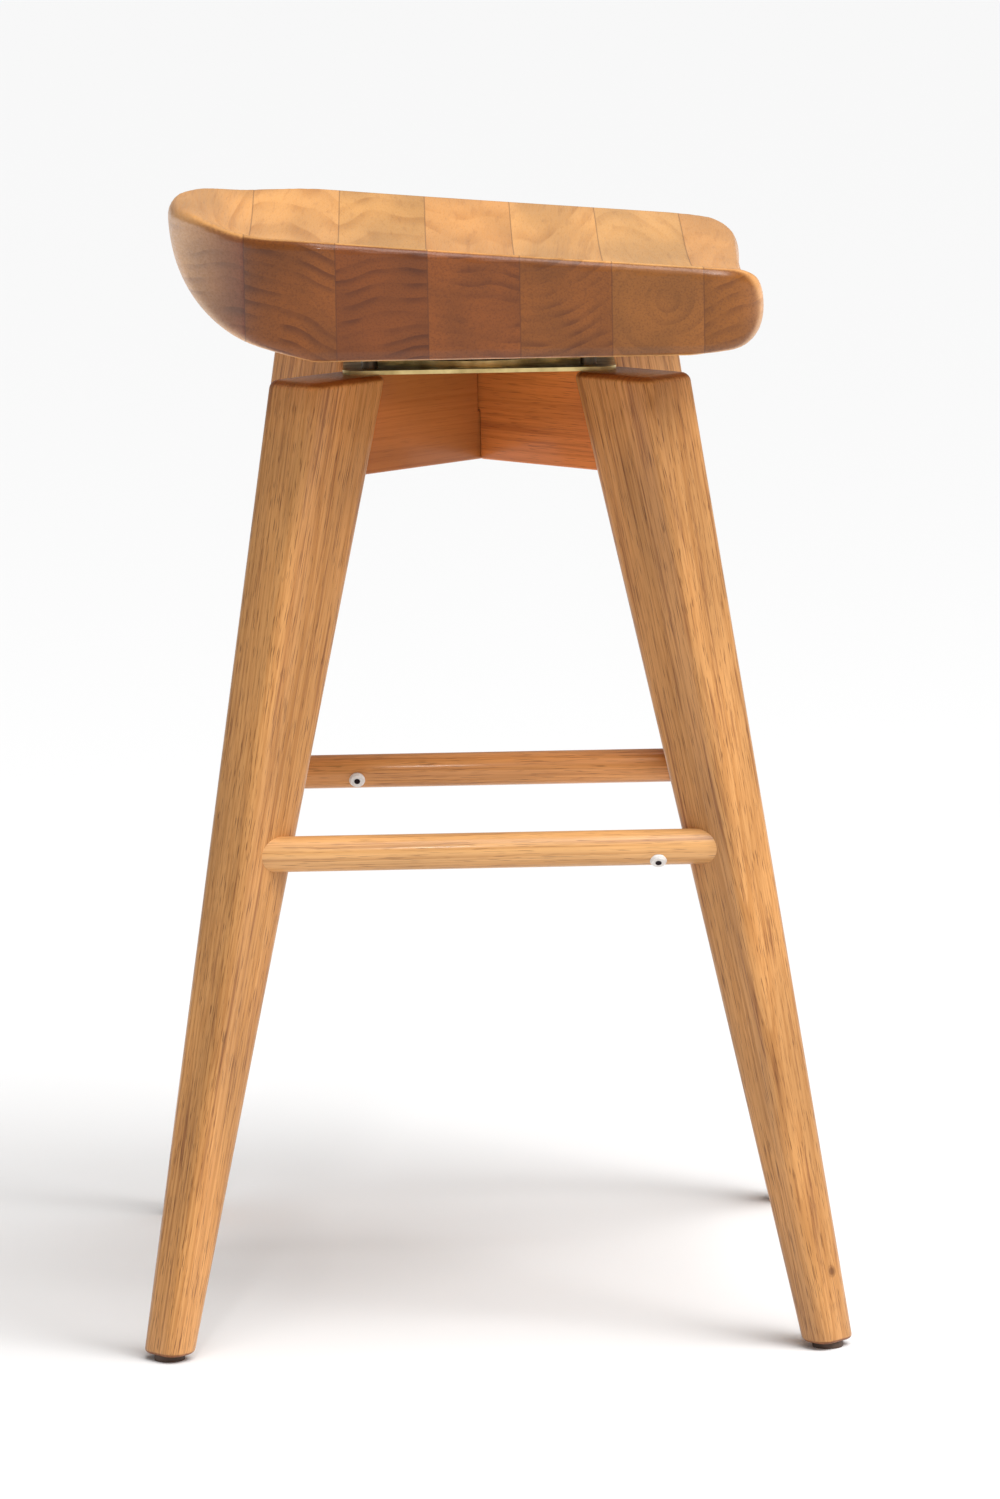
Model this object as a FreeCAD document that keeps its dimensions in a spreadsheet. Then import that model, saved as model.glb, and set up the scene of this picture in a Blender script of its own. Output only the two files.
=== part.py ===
import FreeCAD, Part
import math
import os
import re

import Sketcher
from FreeCAD import Placement, Rotation, Vector

doc = FreeCAD.newDocument("bar_stool")

# ---------------------------------------------------------------- driving sizes, mm
# The frame stands on z = 0, the swivel turns about the z axis, and the sitter faces +x.
SIZES = {
    # legs: centre distances from the axis, and the section at the top and at the foot
    "legTopZ": 594, "legTopReach": 133, "legFootReach": 287,
    "legTopWidth": 44, "legTopDepth": 65, "legFootWidth": 31, "legFootDepth": 24,
    "legEdgeRadius": 5,
    # cross boards
    "boardHeight": 62, "boardThickness": 22, "lapClearance": 0.1,
    # hidden joint dowels between a board's end and its leg
    "pegDiameter": 8, "pegLength": 50, "pegInner": 82, "pegUpperDrop": 28, "pegLowerDrop": 50,
    # footrest
    "footrestZ": 306, "footrestOffset": 155.5, "footrestDiameter": 22, "footrestReach": 143,
    "socketClearance": 0.05,
    # buttons on the footrest
    "buttonDiameter": 10.5, "buttonHeight": 2.4, "buttonSeatDrop": 1, "buttonStem": 5,
    "buttonDepth": 6, "buttonNailDiameter": 2.4,
    # glides under the feet
    "glideDiameter": 19, "glideHeight": 4, "glideNailDiameter": 2.5, "glideNailLength": 16,
    # swivel
    "plateSide": 170, "plateCorner": 12, "plateThickness": 2.5, "swivelHeight": 17,
    "hatRadius": 66, "hatRise": 3, "screwSpacing": 68, "trackRadius": 55, "trackGroove": 4.2,
    "ballDiameter": 7.7, "cageWidth": 12, "cageThickness": 1, "cageHole": 4.2,
    "eyeletOuter": 9, "eyeletInner": 7, "eyeletFlange": 13, "eyeletSheet": 1.2,
    "eyeletClearance": 0.1, "flangeClearance": 0.3,
    # screws
    "screwDiameter": 4.8, "screwHead": 10, "lowerHeadHeight": 5, "upperHeadHeight": 2.4,
    "lowerScrewLength": 20, "upperScrewLength": 26,
    # seat, from the side: half the flat of its underside, its nose, lip and heel
    "seatWidth": 400, "underFlat": 88, "noseX": 150, "noseZ": 641, "noseRadius": 25,
    "lipRadius": 10, "lipZ": 698, "heelX": -121, "heelZ": 695, "heelRadius": 74,
    # seat, from above: its back arc, corners and the hollow of its front edge
    "seatBack": 195, "backRadius": 320, "backCorner": 60, "frontCorner": 48,
    "hollowRadius": 2250,
    # seat, from the front: where its underside starts to rise, and by how much at the sides
    "crownStart": 92, "crownRise": 3.3,
    # seat: the radii of the dish, and the width of a stave
    "dishLowZ": 645.4, "dishLowX": 418.6, "dishLength": 6000, "dishAxisZ": 1560,
    "dishHeel": 75, "dishHeelStart": 120, "firstStaveWidth": 52.5, "staveWidth": 55.5,
}
BALL_COUNT = 24
STAVE_COUNT = 7
LEGS = {"leg_front_left": 45, "leg_back_left": 135, "leg_back_right": 225, "leg_front_right": 315}
# each footrest is turned about the axis from the one on the +y side
FOOTRESTS = {"footrest_left": 0, "footrest_back": 90, "footrest_right": 180, "footrest_front": 270}
# the buttons: their footrest, distance along it, and turn downwards from its outer side
BUTTONS = [("footrest_left", -83, 156), ("footrest_right", -104, 42)]
CORNERS = [(1, 1), (-1, 1), (-1, -1), (1, -1)]

sheet = doc.addObject("Spreadsheet::Sheet", "sizes")
for row, (alias, value) in enumerate(SIZES.items(), start=1):
    sheet.set("A%d" % row, alias)
    sheet.set("B%d" % row, str(value))
    sheet.setAlias("B%d" % row, alias)
doc.recompute()


def named(text):
    """Puts the sheet's name before every alias of an expression."""
    return re.sub(r"\b([a-z]+[A-Z]\w*)\b", r"sizes.\1", text)


def evaluate(text):
    return float(sheet.evalExpression(named(text)))


def bind(thing, prop, text):
    thing.setExpression(prop, named(text))


def turned(angle):
    """A placement turned about the swivel's axis."""
    return Placement(Vector(), Rotation(Vector(0, 0, 1), angle))


# ---------------------------------------------------------------- sketches
def newBody(label, angle=0):
    body = doc.addObject("PartDesign::Body", label)
    body.Label = label
    body.Placement = turned(angle)
    return body


def newSketch(body, role, height=None):
    sketch = body.newObject("Sketcher::SketchObject", "Sketch")
    origin = next(f for f in body.Origin.OriginFeatures if f.Role == role)
    sketch.AttachmentSupport = [(origin, "")]
    sketch.MapMode = "FlatFace"
    if height:
        bind(sketch, "AttachmentOffset.Base.z", height)
    return sketch


def dimension(sketch, kind, text, *where):
    """A dimension of a sketch, bound to the sheet."""
    index = sketch.addConstraint(Sketcher.Constraint(kind, *where, evaluate(text)))
    bind(sketch, "Constraints[%d]" % index, text)


def pin(sketch, geometry, point, x, y):
    """Holds a point of a sketch at x, y, which are expressions."""
    for kind, text, axis in (("DistanceX", x, -2), ("DistanceY", y, -1)):
        if abs(evaluate(text)) < 1e-9:
            sketch.addConstraint(Sketcher.Constraint("PointOnObject", geometry, point, axis))
        else:
            dimension(sketch, kind, text, -1, 1, geometry, point)


def outline(sketch, corners):
    """A closed outline of straight lines through corners, each a pair of expressions."""
    points = [Vector(evaluate(x), evaluate(y), 0) for x, y in corners]
    count = len(points)
    for i in range(count):
        sketch.addGeometry(Part.LineSegment(points[i], points[(i + 1) % count]), False)
    for i in range(count):
        sketch.addConstraint(Sketcher.Constraint("Coincident", i, 2, (i + 1) % count, 1))
    for i, (x, y) in enumerate(corners):
        pin(sketch, i, 1, x, y)


def rectangle(sketch, x, y, width, depth):
    """A rectangle about x, y: width along x and depth along y."""
    low, high = "(%s) - (%s) / 2", "(%s) + (%s) / 2"
    left, right = low % (x, width), high % (x, width)
    near, far = low % (y, depth), high % (y, depth)
    outline(sketch, [(left, near), (right, near), (right, far), (left, far)])


def roundedRectangle(sketch, x, width, depth, radius):
    """A rectangle about x on the first axis, with round corners that its sides run into."""
    half = evaluate(radius)
    arcs, sides = [], []
    for quarter, (across, along) in enumerate(CORNERS):
        centre = ("%s + (%d) * ((%s) / 2 - %s)" % (x, across, width, radius),
                  "(%d) * ((%s) / 2 - %s)" % (along, depth, radius))
        middle = Vector(evaluate(centre[0]), evaluate(centre[1]), 0)
        ring = Part.Circle(middle, Vector(0, 0, 1), half)
        start = quarter * math.pi / 2
        arcs.append(sketch.addGeometry(Part.ArcOfCircle(ring, start, start + math.pi / 2), False))
        pin(sketch, arcs[-1], 3, *centre)
    for first, second in zip(arcs, arcs[1:] + arcs[:1]):
        ends = sketch.getPoint(first, 2), sketch.getPoint(second, 1)
        sides.append(sketch.addGeometry(Part.LineSegment(*ends), False))
        sketch.addConstraint(Sketcher.Constraint("Tangent", first, 2, sides[-1], 1))
        sketch.addConstraint(Sketcher.Constraint("Tangent", sides[-1], 2, second, 1))
    dimension(sketch, "Radius", radius, arcs[0])
    for other in arcs[1:]:
        sketch.addConstraint(Sketcher.Constraint("Equal", arcs[0], other))


def circle(sketch, diameter, x="0", y="0"):
    centre = Vector(evaluate(x), evaluate(y), 0)
    ring = Part.Circle(centre, Vector(0, 0, 1), evaluate(diameter) / 2)
    index = sketch.addGeometry(ring, False)
    pin(sketch, index, 3, x, y)
    dimension(sketch, "Diameter", diameter, index)


def pad(body, sketch, length, midplane=False, reverse=False):
    feature = body.newObject("PartDesign::Pad", "Pad")
    feature.Profile = sketch
    bind(feature, "Length", length)
    feature.Midplane = midplane
    feature.Reversed = reverse
    sketch.Visibility = False
    return feature


def cutThrough(body, sketch):
    feature = body.newObject("PartDesign::Pocket", "Pocket")
    feature.Profile = sketch
    feature.Type = "ThroughAll"
    feature.Midplane = True
    sketch.Visibility = False
    return feature


def spin(body, sketch, kind="PartDesign::Revolution", axis="V_Axis"):
    feature = body.newObject(kind, "Turning")
    feature.Profile = sketch
    feature.ReferenceAxis = (sketch, [axis])
    feature.Angle = 360
    sketch.Visibility = False
    return feature


def roundEdges(body, radius, chosen):
    """Rounds the edges of the body's tip that chosen(edge) picks."""
    doc.recompute()
    tip = body.Tip
    names = ["Edge%d" % (i + 1) for i, edge in enumerate(tip.Shape.Edges) if chosen(edge)]
    feature = body.newObject("PartDesign::Fillet", "Fillet")
    feature.Base = (tip, names)
    bind(feature, "Radius", radius)
    return feature


# ---------------------------------------------------------------- solids and booleans
def rod(diameter, length, start=("0", "0", "0"), direction=Vector(0, 0, 1)):
    """A round bar from start along direction."""
    bar = doc.addObject("Part::Cylinder", "Rod")
    bind(bar, "Radius", "(%s) / 2" % diameter)
    bind(bar, "Height", length)
    bar.Placement = Placement(Vector(), Rotation(Vector(0, 0, 1), direction))
    for axis, text in zip("xyz", start):
        bind(bar, "Placement.Base." + axis, text)
    return bar


def joined(things):
    if len(things) == 1:
        return things[0]
    whole = doc.addObject("Part::MultiFuse", "Joined")
    whole.Shapes = things
    return whole


def cut(base, tools, label=None):
    """The base less its tools. A label makes it a sub-part."""
    result = doc.addObject("Part::Cut", label or "Cut")
    result.Base = base
    result.Tool = joined(tools)
    if label:
        base.Label = label + "_blank"
        result.Label = label
    return result


def group(label, things):
    """Identical pieces that share one node, as separate solids."""
    result = doc.addObject("Part::Compound", label)
    result.Links = things
    result.Label = label
    return result


# ---------------------------------------------------------------- holes that several pieces share
def around(distance, angle):
    """The x and y expressions of a point at a distance from the axis."""
    return "(%s) * cos(%d deg)" % (distance, angle), "(%s) * sin(%d deg)" % (distance, angle)


def outward(angle):
    return turned(angle).multVec(Vector(1, 0, 0))


def socket(angle):
    """The room that a footrest takes in the legs at its ends."""
    reach = "(footrestReach + lapClearance)"
    start = turned(angle).multVec(Vector(-1, 0, 0))
    side = turned(angle).multVec(Vector(0, 1, 0))
    place = ["%s * (%d) + footrestOffset * (%d)" % (reach, round(a), round(b))
             for a, b in zip(start[:2], side[:2])]
    return rod("footrestDiameter + 2 * socketClearance", "2 * " + reach,
               (place[0], place[1], "footrestZ"), start * -1)


def pegs(angle):
    x, y = around("pegInner", angle)
    return [rod("pegDiameter", "pegLength", (x, y, "legTopZ - " + drop), outward(angle))
            for drop in ("pegUpperDrop", "pegLowerDrop")]


def screw(corner, seatZ, headHeight, length, up):
    """A headed screw: its head rests on seatZ and its shank goes up or down from there."""
    x, y = ("screwSpacing * (%d)" % side for side in corner)
    into = Vector(0, 0, 1 if up else -1)
    head = rod("screwHead", headHeight, (x, y, seatZ), into * -1)
    shank = rod("screwDiameter", length, (x, y, seatZ), into)
    return joined([head, shank])


def screwHole(corner):
    x, y = ("screwSpacing * (%d)" % side for side in corner)
    return rod("screwDiameter", "lowerScrewLength + swivelHeight + upperScrewLength",
               (x, y, "legTopZ + plateThickness - lowerScrewLength"))


sockets = {label: socket(angle) for label, angle in FOOTRESTS.items()}
pegsOf = {label: pegs(angle) for label, angle in LEGS.items()}
screwHoles = {corner: screwHole(corner) for corner in CORNERS}


# ---------------------------------------------------------------- legs
def leg(label, angle):
    """A tapered leg on one diagonal, which leans outwards to the foot."""
    body = newBody(label, angle)
    foot = newSketch(body, "XY_Plane", "glideHeight")
    roundedRectangle(foot, "legFootReach", "legFootDepth", "legFootWidth", "legEdgeRadius")
    top = newSketch(body, "XY_Plane", "legTopZ")
    roundedRectangle(top, "legTopReach", "legTopDepth", "legTopWidth", "legEdgeRadius")
    loft = body.newObject("PartDesign::AdditiveLoft", "Loft")
    loft.Profile = foot
    loft.Sections = [top]
    loft.Ruled = True
    x, y = around("legFootReach", angle)
    nailHole = rod("glideNailDiameter", "glideNailLength", (x, y, "glideHeight / 2"))
    cut(body, list(sockets.values()) + pegsOf[label] + [nailHole], label)


for label, angle in LEGS.items():
    leg(label, angle)
group("joint_pegs", [peg for pair in pegsOf.values() for peg in pair])


# ---------------------------------------------------------------- cross boards
def crossBoard(label, legLabels, lapUp):
    """A board on one diagonal whose ends meet the legs, halved at the middle."""
    body = newBody(label, LEGS[legLabels[0]])
    side = newSketch(body, "XZ_Plane")
    top = "(legTopReach - legTopDepth / 2)"
    foot = "(legFootReach - legFootDepth / 2)"
    fall = "boardHeight / (legTopZ - glideHeight)"
    bottom = "(%s + (%s - %s) * %s)" % (top, foot, top, fall)
    under = "legTopZ - boardHeight"
    outline(side, [("-" + bottom, under), (bottom, under), (top, "legTopZ"), ("-" + top, "legTopZ")])
    pad(body, side, "boardThickness", midplane=True)
    lap = newSketch(body, "XZ_Plane")
    quarter = "boardHeight / 4" if lapUp else "boardHeight * 3 / 4"
    rectangle(lap, "0", "legTopZ - " + quarter, "boardThickness + 2 * lapClearance",
              "boardHeight / 2 + lapClearance")
    cutThrough(body, lap)
    cut(body, [peg for name in legLabels for peg in pegsOf[name]] + list(screwHoles.values()), label)


crossBoard("cross_board_a", ("leg_front_left", "leg_back_right"), lapUp=True)
crossBoard("cross_board_b", ("leg_back_left", "leg_front_right"), lapUp=False)


# ---------------------------------------------------------------- footrest and its buttons
def onFootrest(label, along, angle):
    """Where a button sits: its axis points out of the footrest."""
    centre = Vector(along, evaluate("footrestOffset"), evaluate("footrestZ"))
    out = Rotation(Vector(1, 0, 0), -angle).multVec(Vector(0, 1, 0))
    seat = centre + out * evaluate("footrestDiameter / 2 - buttonSeatDrop")
    return turned(FOOTRESTS[label]).multiply(Placement(seat, Rotation(Vector(0, 0, 1), out)))


def placedRod(placement, diameter, depth, height):
    """A bar on a placement's z axis, from depth below its origin to height above."""
    bar = rod(diameter, depth + " + " + height)
    for axis in "xyz":
        bar.setExpression("Placement.Base." + axis, None)
    bar.Placement = placement.multiply(Placement(Vector(0, 0, -evaluate(depth)), Rotation()))
    return bar


def footrest(label, angle, buttonPlaces):
    body = newBody(label, angle)
    section = newSketch(body, "YZ_Plane")
    circle(section, "footrestDiameter", "footrestOffset", "footrestZ")
    pad(body, section, "2 * footrestReach", midplane=True)
    if buttonPlaces:
        tools = []
        for place in buttonPlaces:
            tools.append(placedRod(place, "buttonDiameter + 0.2", "0", "buttonHeight"))
            tools.append(placedRod(place, "buttonStem + 0.1", "buttonDepth", "buttonHeight"))
            tools.append(placedRod(place, "buttonNailDiameter", "2 * buttonDepth", "buttonHeight"))
        cut(body, tools, label)


def button(place):
    """A domed cap on a short stem, with a hole for its nail."""
    body = newBody("Button")
    section = newSketch(body, "XZ_Plane")
    bore = "buttonNailDiameter / 2 + socketClearance"
    edge = "buttonDiameter / 2"
    outline(section, [(bore, "-buttonDepth"), ("buttonStem / 2", "-buttonDepth"),
                      ("buttonStem / 2", "0"), (edge, "0"), (edge, "buttonHeight / 2"),
                      (edge + " - 1", "buttonHeight"), (bore, "buttonHeight")])
    spin(body, section)
    body.Placement = place
    return body


def buttonNail(place):
    shank = placedRod(place, "buttonNailDiameter", "2 * buttonDepth", "buttonHeight")
    lifted = place.multiply(Placement(Vector(0, 0, evaluate("buttonHeight")), Rotation()))
    return joined([shank, placedRod(lifted, "1.6 * buttonNailDiameter", "0", "0.4")])


buttonPlaces = {label: [] for label in FOOTRESTS}
for label, along, angle in BUTTONS:
    buttonPlaces[label].append(onFootrest(label, along, angle))
for label, angle in FOOTRESTS.items():
    footrest(label, angle, buttonPlaces[label])
allPlaces = [place for places in buttonPlaces.values() for place in places]
group("footrest_buttons", [button(place) for place in allPlaces])
group("button_nails", [buttonNail(place) for place in allPlaces])


# ---------------------------------------------------------------- glides
def glide(angle):
    x, y = around("legFootReach", angle)
    disc = rod("glideDiameter", "glideHeight", (x, y, "0"))
    headRoom = rod("2.2 * glideNailDiameter", "glideHeight / 2", (x, y, "0"))
    hole = rod("glideNailDiameter", "glideHeight", (x, y, "0"))
    return cut(disc, [headRoom, hole])


def glideNail(angle):
    x, y = around("legFootReach", angle)
    head = rod("2 * glideNailDiameter", "glideHeight / 4", (x, y, "glideHeight / 4"))
    shank = rod("glideNailDiameter", "glideNailLength", (x, y, "glideHeight / 2"))
    return joined([head, shank])


group("foot_glides", [glide(angle) for angle in LEGS.values()])
group("glide_nails", [glideNail(angle) for angle in LEGS.values()])


# ---------------------------------------------------------------- swivel
def swivelPlate(label, base, sign):
    """A square plate with a pressed hat, whose groove holds the balls. sign is the side it rises to."""
    body = newBody(label)
    square = newSketch(body, "XY_Plane", base)
    rectangle(square, "0", "0", "plateSide", "plateSide")
    pad(body, square, "plateThickness", reverse=sign == "-")
    roundEdges(body, "plateCorner", lambda e: e.BoundBox.ZLength > evaluate("plateThickness") / 2)
    openings = newSketch(body, "XY_Plane", base)
    circle(openings, "2 * (hatRadius - plateThickness)")
    for corner in CORNERS:
        circle(openings, "screwDiameter + lapClearance",
               *("screwSpacing * (%d)" % side for side in corner))
    cutThrough(body, openings)
    hat = newSketch(body, "XZ_Plane")
    level = base + " " + sign + " "
    bore = "eyeletOuter + eyeletClearance"
    wall = "hatRadius - plateThickness"
    crown = level + "(hatRise + plateThickness)"
    outline(hat, [(bore, level + "hatRise"), (wall, level + "hatRise"), (wall, base),
                  ("hatRadius", base), ("hatRadius", crown), (bore, crown)])
    spin(body, hat)
    track = newSketch(body, "XZ_Plane")
    circle(track, "2 * trackGroove", "trackRadius", "legTopZ + swivelHeight / 2")
    spin(body, track, "PartDesign::Groove")


def eyelet():
    """The tube through both plates, rolled over at each end to hold them together."""
    body = newBody("swivel_eyelet")
    section = newSketch(body, "XZ_Plane")
    under = "legTopZ + hatRise"
    over = "legTopZ + swivelHeight - hatRise + flangeClearance"
    outline(section, [("eyeletInner", under + " - eyeletSheet"), ("eyeletFlange", under + " - eyeletSheet"),
                      ("eyeletFlange", under), ("eyeletOuter", under), ("eyeletOuter", over),
                      ("eyeletFlange", over), ("eyeletFlange", over + " + eyeletSheet"),
                      ("eyeletInner", over + " + eyeletSheet")])
    spin(body, section)


def ball(angle):
    sphere = doc.addObject("Part::Sphere", "Ball")
    bind(sphere, "Radius", "ballDiameter / 2")
    x, y = around("trackRadius", angle)
    place = (x, y, "legTopZ + swivelHeight / 2 - trackGroove + ballDiameter / 2 + lapClearance")
    for axis, text in zip("xyz", place):
        bind(sphere, "Placement.Base." + axis, text)
    return sphere


def cage():
    """The flat ring between the plates that spaces the balls."""
    middle = "legTopZ + (swivelHeight - cageThickness) / 2"
    disc = rod("2 * trackRadius + cageWidth", "cageThickness", ("0", "0", middle))
    hole = rod("2 * trackRadius - cageWidth", "cageThickness", ("0", "0", middle))
    pockets = [rod("2 * cageHole", "cageThickness", around("trackRadius", angle) + (middle,))
               for angle in ballAngles]
    cut(disc, [hole] + pockets, "swivel_ball_cage")


ballAngles = [360 * i // BALL_COUNT for i in range(BALL_COUNT)]
swivelPlate("swivel_lower_plate", "legTopZ", "+")
swivelPlate("swivel_upper_plate", "legTopZ + swivelHeight", "-")
eyelet()
cage()
group("swivel_balls", [ball(angle) for angle in ballAngles])
group("lower_plate_screws", [screw(corner, "legTopZ + plateThickness", "lowerHeadHeight",
                                   "lowerScrewLength", up=False) for corner in CORNERS])
group("upper_plate_screws", [screw(corner, "legTopZ + swivelHeight - plateThickness", "upperHeadHeight",
                                   "upperScrewLength", up=True) for corner in CORNERS])


# ---------------------------------------------------------------- seat
def arc(sketch, centre, start, end):
    """An anticlockwise arc from start to end, each a pair of expressions, about centre."""
    middle, first, last = (Vector(evaluate(x), evaluate(y), 0) for x, y in (centre, start, end))
    ring = Part.Circle(middle, Vector(0, 0, 1), (first - middle).Length)
    angles = [math.atan2(p.y - middle.y, p.x - middle.x) for p in (first, last)]
    return sketch.addGeometry(Part.ArcOfCircle(ring, *angles), False)


def line(sketch, start, end):
    first, last = (Vector(evaluate(x), evaluate(y), 0) for x, y in (start, end))
    return sketch.addGeometry(Part.LineSegment(first, last), False)


def chain(sketch, run):
    """Joins lines and arcs end to end, each tangent to the next."""
    for first, second in zip(run, run[1:]):
        sketch.addConstraint(Sketcher.Constraint("Tangent", first, 2, second, 1))


def seatSide():
    """The seat from the side: flat below and raised to both ends, a round nose, lip and heel."""
    body = newBody("seat_side")
    sketch = newSketch(body, "XZ_Plane")
    under = "legTopZ + swivelHeight"
    lipLow = "lipZ - lipRadius"
    noseLow, noseTop = ("noseX", "noseZ - noseRadius"), ("noseX", "noseZ + noseRadius")
    lip = ("lipRadius - seatBack", lipLow)
    lipTop, lipEnd = (lip[0], "lipZ"), ("-seatBack", lipLow)
    heelLow = ("heelX", "heelZ - heelRadius")
    bottom = line(sketch, ("-underFlat", under), ("underFlat", under))
    rise = line(sketch, ("underFlat", under), noseLow)
    nose = arc(sketch, ("noseX", "noseZ"), noseLow, noseTop)
    rim = line(sketch, noseTop, lipTop)
    curl = arc(sketch, lip, lipTop, lipEnd)
    heel = arc(sketch, ("heelX", "heelZ"), lipEnd, heelLow)
    fall = line(sketch, heelLow, ("-underFlat", under))
    chain(sketch, [rise, nose, rim, curl, heel, fall])
    sketch.addConstraint(Sketcher.Constraint("Coincident", bottom, 2, rise, 1))
    sketch.addConstraint(Sketcher.Constraint("Coincident", fall, 2, bottom, 1))
    pin(sketch, bottom, 1, "-underFlat", under)
    pin(sketch, bottom, 2, "underFlat", under)
    pin(sketch, nose, 3, "noseX", "noseZ")
    pin(sketch, heel, 3, "heelX", "heelZ")
    dimension(sketch, "Radius", "noseRadius", nose)
    dimension(sketch, "Radius", "heelRadius", heel)
    dimension(sketch, "Radius", "lipRadius", curl)
    dimension(sketch, "DistanceY", lipLow, -1, 1, curl, 3)
    pad(body, sketch, "seatWidth", midplane=True)
    return body


def seatPlan():
    """The seat from above: a round back, straight sides and a slightly hollow front edge."""
    body = newBody("seat_plan")
    sketch = newSketch(body, "XY_Plane", "legTopZ - 2")
    front, side = "noseX + noseRadius", "seatWidth / 2"
    cornerX, cornerY = front + " - frontCorner", "(seatWidth / 2 - frontCorner)"
    backX, backY = "backRadius - seatBack", "(seatWidth / 2 - backCorner)"
    turnX = "%s - sqrt((backRadius - backCorner)^2 - %s^2)" % (backX, backY)
    nearBack = "-seatBack + backCorner - 10"
    # the ends are close guesses, and the tangencies settle them
    hollow = arc(sketch, (front + " + hollowRadius", "0"), (front, cornerY), (front, "-" + cornerY))
    cornerLeft = arc(sketch, (cornerX, cornerY), (front, cornerY), (cornerX, side))
    left = line(sketch, (cornerX, side), (turnX, side))
    turnLeft = arc(sketch, (turnX, backY), (turnX, side), (nearBack, backY))
    back = arc(sketch, (backX, "0"), (nearBack, backY), (nearBack, "-" + backY))
    turnRight = arc(sketch, (turnX, "-" + backY), (nearBack, "-" + backY), (turnX, "-" + side))
    right = line(sketch, (turnX, "-" + side), (cornerX, "-" + side))
    cornerRight = arc(sketch, (cornerX, "-" + cornerY), (cornerX, "-" + side), (front, "-" + cornerY))
    chain(sketch, [cornerLeft, left, turnLeft, back, turnRight, right, cornerRight])
    sketch.addConstraint(Sketcher.Constraint("Tangent", cornerRight, 2, hollow, 2))
    sketch.addConstraint(Sketcher.Constraint("Tangent", hollow, 1, cornerLeft, 1))
    for edge in (left, right):
        sketch.addConstraint(Sketcher.Constraint("Horizontal", edge))
    pin(sketch, cornerLeft, 3, cornerX, cornerY)
    pin(sketch, cornerRight, 3, cornerX, "-" + cornerY)
    pin(sketch, back, 3, backX, "0")
    for radius, piece in (("hollowRadius", hollow), ("frontCorner", cornerLeft), ("backCorner", turnLeft),
                          ("backRadius", back), ("backCorner", turnRight), ("frontCorner", cornerRight)):
        dimension(sketch, "Radius", radius, piece)
    pad(body, sketch, "lipZ - legTopZ + swivelHeight")
    # the underside rises towards both sides
    under, wide, low = "legTopZ + swivelHeight", "(seatWidth / 2 + 1)", "legTopZ - 4"
    for sign in ("", "-"):
        sketch = newSketch(body, "YZ_Plane")
        outline(sketch, [(sign + "crownStart", under), (sign + wide, under + " + crownRise"),
                         (sign + wide, low), (sign + "crownStart", low)])
        cutThrough(body, sketch)
    return body


def dish():
    """What is carved out: a long shallow sweep and a tighter heel, turned about a high axis."""
    body = newBody("seat_dish")
    sketch = newSketch(body, "XZ_Plane")
    axisZ = "dishAxisZ"
    sweepZ = "dishLowZ + dishLength"
    drop = "sqrt(dishLength^2 - (dishLowX + dishHeelStart)^2)"
    share = "(1 - dishHeel / dishLength)"
    start = ("-dishHeelStart", "%s - %s" % (sweepZ, drop))
    heel = ("dishLowX - (dishLowX + dishHeelStart) * " + share, "%s - %s * %s" % (sweepZ, drop, share))
    high = (heel[0] + " - dishHeel", heel[1])
    front = ("noseX + 2 * noseRadius",
             "%s - sqrt(dishLength^2 - (noseX + 2 * noseRadius - dishLowX)^2)" % sweepZ)
    sweep = arc(sketch, ("dishLowX", sweepZ), start, front)
    rise = line(sketch, front, (front[0], axisZ))
    top = line(sketch, (front[0], axisZ), (high[0], axisZ))
    fall = line(sketch, (high[0], axisZ), high)
    bend = arc(sketch, heel, high, start)
    loop = [sweep, rise, top, fall, bend]
    for first, second in zip(loop, loop[1:] + loop[:1]):
        sketch.addConstraint(Sketcher.Constraint("Coincident", first, 2, second, 1))
    pin(sketch, sweep, 1, *start)
    pin(sketch, sweep, 2, *front)
    dimension(sketch, "Radius", "dishLength", sweep)
    pin(sketch, top, 1, front[0], axisZ)
    pin(sketch, top, 2, high[0], axisZ)
    pin(sketch, fall, 2, *high)
    dimension(sketch, "Radius", "dishHeel", bend)
    spin(body, sketch, axis="Edge3")
    return body


def stave(blank, number):
    """One stave of the seat, from side to side, numbered from the back."""
    slab = doc.addObject("Part::Box", "Slab")
    joints = ["firstStaveWidth + staveWidth * %d - seatBack" % i for i in range(STAVE_COUNT - 1)]
    edges = ["-seatBack"] + joints + ["noseX + noseRadius"]
    start, end = edges[number - 1:number + 1]
    bind(slab, "Length", "%s - (%s)" % (end, start))
    bind(slab, "Width", "seatWidth")
    bind(slab, "Height", "lipZ - legTopZ")
    bind(slab, "Placement.Base.x", start)
    bind(slab, "Placement.Base.y", "-seatWidth / 2")
    bind(slab, "Placement.Base.z", "legTopZ")
    piece = doc.addObject("Part::Common", "Stave")
    piece.Base = blank
    piece.Tool = slab
    cut(piece, list(screwHoles.values()), "seat_stave_%d" % number)


block = doc.addObject("Part::Common", "seat_block")
block.Base = seatSide()
block.Tool = seatPlan()
carved = cut(block, [dish()])
for number in range(1, STAVE_COUNT + 1):
    stave(carved, number)


# ---------------------------------------------------------------- checks and files
NODES = (list(LEGS) + ["joint_pegs", "cross_board_a", "cross_board_b"] + list(FOOTRESTS)
         + ["footrest_buttons", "button_nails", "foot_glides", "glide_nails",
            "swivel_lower_plate", "swivel_upper_plate", "swivel_eyelet", "swivel_ball_cage",
            "swivel_balls", "lower_plate_screws", "upper_plate_screws"]
         + ["seat_stave_%d" % (i + 1) for i in range(STAVE_COUNT)])

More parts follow.
